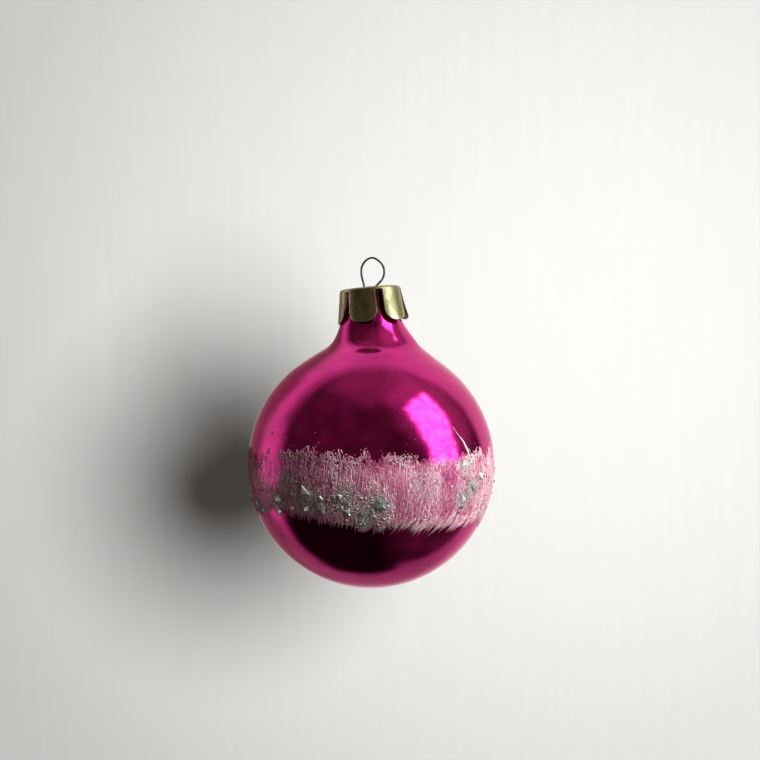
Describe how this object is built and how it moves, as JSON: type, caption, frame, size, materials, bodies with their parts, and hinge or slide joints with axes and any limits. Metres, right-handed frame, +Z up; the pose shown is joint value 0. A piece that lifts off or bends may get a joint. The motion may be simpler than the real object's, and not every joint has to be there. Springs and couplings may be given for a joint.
{
  "type": "hanging ornament",
  "caption": "Hollow blown glass ball with an open neck, a raised painted band set with glass chips, a petal cap and a bent wire hanging loop.",
  "frame": {"origin": "on the ball's axis, level with the top of the inside of the wire loop, where the ornament hangs from", "axes": "+Z up along the ball's axis from the ball to the loop; -Y is the front, the side with the thickest chip clusters; the loop's plane is XZ"},
  "size_m": [0.052, 0.0519, 0.0671],
  "materials": {
    "magenta_glass": "mirror gloss, silvered inside and lacquered magenta outside",
    "band_paint": "matt, brushed, streaky",
    "cap_brass": "satin, slightly tarnished",
    "hanger_wire": "dark oxidised",
    "chip_glass": "broken glass facets"
  },
  "bodies": {
    "ball": {"glass_ball": "magenta_glass", "paint_band": "band_paint", "glass_chip_01": "chip_glass", "glass_chip_02": "chip_glass", "glass_chip_03": "chip_glass", "glass_chip_04": "chip_glass", "glass_chip_05": "chip_glass", "glass_chip_06": "chip_glass", "glass_chip_07": "chip_glass", "glass_chip_08": "chip_glass", "glass_chip_09": "chip_glass", "glass_chip_10": "chip_glass", "glass_chip_11": "chip_glass", "glass_chip_12": "chip_glass", "glass_chip_13": "chip_glass", "glass_chip_14": "chip_glass", "glass_chip_15": "chip_glass", "glass_chip_16": "chip_glass", "glass_chip_17": "chip_glass", "glass_chip_18": "chip_glass", "glass_chip_19": "chip_glass", "glass_chip_20": "chip_glass", "glass_chip_21": "chip_glass", "glass_chip_22": "chip_glass", "glass_chip_23": "chip_glass", "glass_chip_24": "chip_glass", "glass_chip_25": "chip_glass", "glass_chip_26": "chip_glass", "glass_chip_27": "chip_glass", "glass_chip_28": "chip_glass"},
    "cap": {"cap": "cap_brass"},
    "hanger": {"hanger": "hanger_wire"}
  },
  "joints": [
    {"name": "cap_lift", "type": "slide", "parent": "ball", "child": "cap", "axis": [0, 0, 1], "range_m": [0, 0.014]},
    {"name": "hanger_slide", "type": "slide", "parent": "cap", "child": "hanger", "axis": [0, 0, 1], "range_m": [0, 0.003]}
  ]
}
